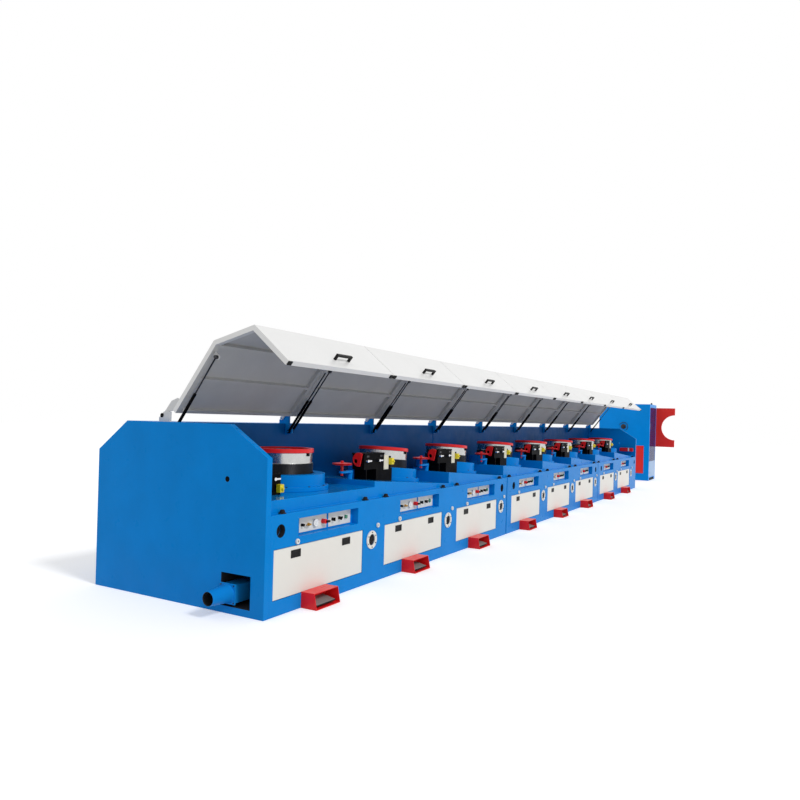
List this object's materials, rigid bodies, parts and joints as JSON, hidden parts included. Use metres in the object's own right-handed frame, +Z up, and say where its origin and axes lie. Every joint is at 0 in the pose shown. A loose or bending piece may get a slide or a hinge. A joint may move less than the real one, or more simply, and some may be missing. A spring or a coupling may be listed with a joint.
{
  "type": "straight-line wire drawing machine with take-up stand",
  "caption": "Long wire drawing line with drawing blocks under swing-up hoods on closed base frames, and a take-up stand at the exit end.",
  "frame": {"origin": "floor level at the front corner of the entry end plate", "axes": "+X along the machine from the entry end to the exit end, +Y from the front to the rear, +Z up"},
  "size_m": [18.767, 2.462, 2.3719],
  "materials": {
    "blue_paint": "gloss",
    "white_paint": "satin",
    "red_paint": "gloss",
    "black_paint": "satin",
    "cream_paint": "satin",
    "steel": "bright",
    "black_plastic": "matte",
    "black_rubber": "matte",
    "tinted_sheet": "clear"
  },
  "bodies": {
    "root": {"end_plates": "blue_paint", "frame_1": "blue_paint", "frame_2": "blue_paint", "frame_3": "blue_paint", "rear_housing_1": "blue_paint", "rear_housing_2": "blue_paint", "rear_housing_3": "blue_paint", "rear_covers": "blue_paint", "access_doors": "white_paint", "door_latches": "black_plastic", "control_plates": "white_paint", "control_knobs": "black_plastic", "vent_rings": "white_paint", "duct_outlet": "blue_paint", "ring_housings": "blue_paint", "die_boxes": "black_paint", "die_side_plates": "cream_paint", "die_clamps": "steel", "wire_guides": "red_paint", "sheave_arms": "blue_paint", "pedal_guards": "red_paint", "foot_pedals": "black_plastic", "hood_brackets": "blue_paint", "bumpers": "black_rubber", "exit_guide": "red_paint", "takeup_cabinet": "blue_paint", "takeup_guard": "red_paint", "takeup_window": "tinted_sheet"},
    "hood_1": {"hood_1": "white_paint"},
    "strut_tubes_1": {"strut_tubes_1": "black_paint"},
    "strut_rods_1": {"strut_rods_1": "steel"},
    "capstan_1": {"capstan_1": "steel"},
    "hood_2": {"hood_2": "white_paint"},
    "strut_tubes_2": {"strut_tubes_2": "black_paint"},
    "strut_rods_2": {"strut_rods_2": "steel"},
    "capstan_2": {"capstan_2": "steel"},
    "hood_3": {"hood_3": "white_paint"},
    "strut_tubes_3": {"strut_tubes_3": "black_paint"},
    "strut_rods_3": {"strut_rods_3": "steel"},
    "capstan_3": {"capstan_3": "steel"},
    "hood_4": {"hood_4": "white_paint"},
    "strut_tubes_4": {"strut_tubes_4": "black_paint"},
    "strut_rods_4": {"strut_rods_4": "steel"},
    "capstan_4": {"capstan_4": "steel"},
    "hood_5": {"hood_5": "white_paint"},
    "strut_tubes_5": {"strut_tubes_5": "black_paint"},
    "strut_rods_5": {"strut_rods_5": "steel"},
    "capstan_5": {"capstan_5": "steel"},
    "hood_6": {"hood_6": "white_paint"},
    "strut_tubes_6": {"strut_tubes_6": "black_paint"},
    "strut_rods_6": {"strut_rods_6": "steel"},
    "capstan_6": {"capstan_6": "steel"},
    "hood_7": {"hood_7": "white_paint"},
    "strut_tubes_7": {"strut_tubes_7": "black_paint"},
    "strut_rods_7": {"strut_rods_7": "steel"},
    "capstan_7": {"capstan_7": "steel"},
    "hood_8": {"hood_8": "white_paint"},
    "strut_tubes_8": {"strut_tubes_8": "black_paint"},
    "strut_rods_8": {"strut_rods_8": "steel"},
    "capstan_8": {"capstan_8": "steel"}
  },
  "joints": [
    {"name": "hood_hinge_1", "type": "hinge", "parent": "root", "child": "hood_1", "pos_m": [0.9005, 1.282, 1.607], "axis": [1, 0, 0], "range_deg": [0, 48.5]},
    {"name": "strut_foot_1", "type": "hinge", "parent": "root", "child": "strut_tubes_1", "pos_m": [0.9005, 1.177, 1.46], "axis": [1, 0, 0], "range_deg": [0, 49.96]},
    {"name": "strut_slide_1", "type": "slide", "parent": "strut_tubes_1", "child": "strut_rods_1", "axis": [0, 0.5976, -0.8018], "range_m": [0, 0.1474]},
    {"name": "capstan_spin_1", "type": "hinge", "parent": "root", "child": "capstan_1", "pos_m": [1.035, 0.7, 0.935], "axis": [0, 0, 1], "continuous": true},
    {"name": "hood_hinge_2", "type": "hinge", "parent": "root", "child": "hood_2", "pos_m": [2.595, 1.282, 1.607], "axis": [1, 0, 0], "range_deg": [0, 48.5]},
    {"name": "strut_foot_2", "type": "hinge", "parent": "root", "child": "strut_tubes_2", "pos_m": [2.595, 1.177, 1.46], "axis": [1, 0, 0], "range_deg": [0, 49.96]},
    {"name": "strut_slide_2", "type": "slide", "parent": "strut_tubes_2", "child": "strut_rods_2", "axis": [0, 0.5976, -0.8018], "range_m": [0, 0.1474]},
    {"name": "capstan_spin_2", "type": "hinge", "parent": "root", "child": "capstan_2", "pos_m": [2.898, 0.7, 0.90223], "axis": [0.0785, 0, 0.9969], "continuous": true},
    {"name": "hood_hinge_3", "type": "hinge", "parent": "root", "child": "hood_3", "pos_m": [4.37, 1.282, 1.607], "axis": [1, 0, 0], "range_deg": [0, 48.5]},
    {"name": "strut_foot_3", "type": "hinge", "parent": "root", "child": "strut_tubes_3", "pos_m": [4.37, 1.177, 1.46], "axis": [1, 0, 0], "range_deg": [0, 49.96]},
    {"name": "strut_slide_3", "type": "slide", "parent": "strut_tubes_3", "child": "strut_rods_3", "axis": [0, 0.5976, -0.8018], "range_m": [0, 0.1474]},
    {"name": "capstan_spin_3", "type": "hinge", "parent": "root", "child": "capstan_3", "pos_m": [4.628, 0.7, 0.90223], "axis": [0.0785, 0, 0.9969], "continuous": true},
    {"name": "hood_hinge_4", "type": "hinge", "parent": "root", "child": "hood_4", "pos_m": [6.19, 1.282, 1.607], "axis": [1, 0, 0], "range_deg": [0, 48.5]},
    {"name": "strut_foot_4", "type": "hinge", "parent": "root", "child": "strut_tubes_4", "pos_m": [6.19, 1.177, 1.46], "axis": [1, 0, 0], "range_deg": [0, 49.96]},
    {"name": "strut_slide_4", "type": "slide", "parent": "strut_tubes_4", "child": "strut_rods_4", "axis": [0, 0.5976, -0.8018], "range_m": [0, 0.1474]},
    {"name": "capstan_spin_4", "type": "hinge", "parent": "root", "child": "capstan_4", "pos_m": [6.47, 0.7, 0.90758], "axis": [0.0785, 0, 0.9969], "continuous": true},
    {"name": "hood_hinge_5", "type": "hinge", "parent": "root", "child": "hood_5", "pos_m": [7.965, 1.282, 1.607], "axis": [1, 0, 0], "range_deg": [0, 48.5]},
    {"name": "strut_foot_5", "type": "hinge", "parent": "root", "child": "strut_tubes_5", "pos_m": [7.965, 1.177, 1.46], "axis": [1, 0, 0], "range_deg": [0, 49.96]},
    {"name": "strut_slide_5", "type": "slide", "parent": "strut_tubes_5", "child": "strut_rods_5", "axis": [0, 0.5976, -0.8018], "range_m": [0, 0.1474]},
    {"name": "capstan_spin_5", "type": "hinge", "parent": "root", "child": "capstan_5", "pos_m": [8.268, 0.7, 0.90223], "axis": [0.0785, 0, 0.9969], "continuous": true},
    {"name": "hood_hinge_6", "type": "hinge", "parent": "root", "child": "hood_6", "pos_m": [9.74, 1.282, 1.607], "axis": [1, 0, 0], "range_deg": [0, 48.5]},
    {"name": "strut_foot_6", "type": "hinge", "parent": "root", "child": "strut_tubes_6", "pos_m": [9.74, 1.177, 1.46], "axis": [1, 0, 0], "range_deg": [0, 49.96]},
    {"name": "strut_slide_6", "type": "slide", "parent": "strut_tubes_6", "child": "strut_rods_6", "axis": [0, 0.5976, -0.8018], "range_m": [0, 0.1474]},
    {"name": "capstan_spin_6", "type": "hinge", "parent": "root", "child": "capstan_6", "pos_m": [9.998, 0.7, 0.90223], "axis": [0.0785, 0, 0.9969], "continuous": true},
    {"name": "hood_hinge_7", "type": "hinge", "parent": "root", "child": "hood_7", "pos_m": [11.56, 1.282, 1.607], "axis": [1, 0, 0], "range_deg": [0, 48.5]},
    {"name": "strut_foot_7", "type": "hinge", "parent": "root", "child": "strut_tubes_7", "pos_m": [11.56, 1.177, 1.46], "axis": [1, 0, 0], "range_deg": [0, 49.96]},
    {"name": "strut_slide_7", "type": "slide", "parent": "strut_tubes_7", "child": "strut_rods_7", "axis": [0, 0.5976, -0.8018], "range_m": [0, 0.1474]},
    {"name": "capstan_spin_7", "type": "hinge", "parent": "root", "child": "capstan_7", "pos_m": [11.84, 0.7, 0.90758], "axis": [0.0785, 0, 0.9969], "continuous": true},
    {"name": "hood_hinge_8", "type": "hinge", "parent": "root", "child": "hood_8", "pos_m": [13.5355, 1.282, 1.607], "axis": [1, 0, 0], "range_deg": [0, 48.5]},
    {"name": "strut_foot_8", "type": "hinge", "parent": "root", "child": "strut_tubes_8", "pos_m": [13.5355, 1.177, 1.46], "axis": [1, 0, 0], "range_deg": [0, 49.96]},
    {"name": "strut_slide_8", "type": "slide", "parent": "strut_tubes_8", "child": "strut_rods_8", "axis": [0, 0.5976, -0.8018], "range_m": [0, 0.1474]},
    {"name": "capstan_spin_8", "type": "hinge", "parent": "root", "child": "capstan_8", "pos_m": [13.638, 0.7, 0.90223], "axis": [0.0785, 0, 0.9969], "continuous": true}
  ],
  "couplings": [
    {"joint": "strut_foot_1", "follows": "hood_hinge_1", "ratio": 1.0294},
    {"joint": "strut_slide_1", "follows": "hood_hinge_1", "m_per_rad": 0.17393},
    {"joint": "strut_foot_2", "follows": "hood_hinge_2", "ratio": 1.0294},
    {"joint": "strut_slide_2", "follows": "hood_hinge_2", "m_per_rad": 0.17393},
    {"joint": "strut_foot_3", "follows": "hood_hinge_3", "ratio": 1.0294},
    {"joint": "strut_slide_3", "follows": "hood_hinge_3", "m_per_rad": 0.17393},
    {"joint": "strut_foot_4", "follows": "hood_hinge_4", "ratio": 1.0294},
    {"joint": "strut_slide_4", "follows": "hood_hinge_4", "m_per_rad": 0.17393},
    {"joint": "strut_foot_5", "follows": "hood_hinge_5", "ratio": 1.0294},
    {"joint": "strut_slide_5", "follows": "hood_hinge_5", "m_per_rad": 0.17393},
    {"joint": "strut_foot_6", "follows": "hood_hinge_6", "ratio": 1.0294},
    {"joint": "strut_slide_6", "follows": "hood_hinge_6", "m_per_rad": 0.17393},
    {"joint": "strut_foot_7", "follows": "hood_hinge_7", "ratio": 1.0294},
    {"joint": "strut_slide_7", "follows": "hood_hinge_7", "m_per_rad": 0.17393},
    {"joint": "strut_foot_8", "follows": "hood_hinge_8", "ratio": 1.0294},
    {"joint": "strut_slide_8", "follows": "hood_hinge_8", "m_per_rad": 0.17393}
  ]
}
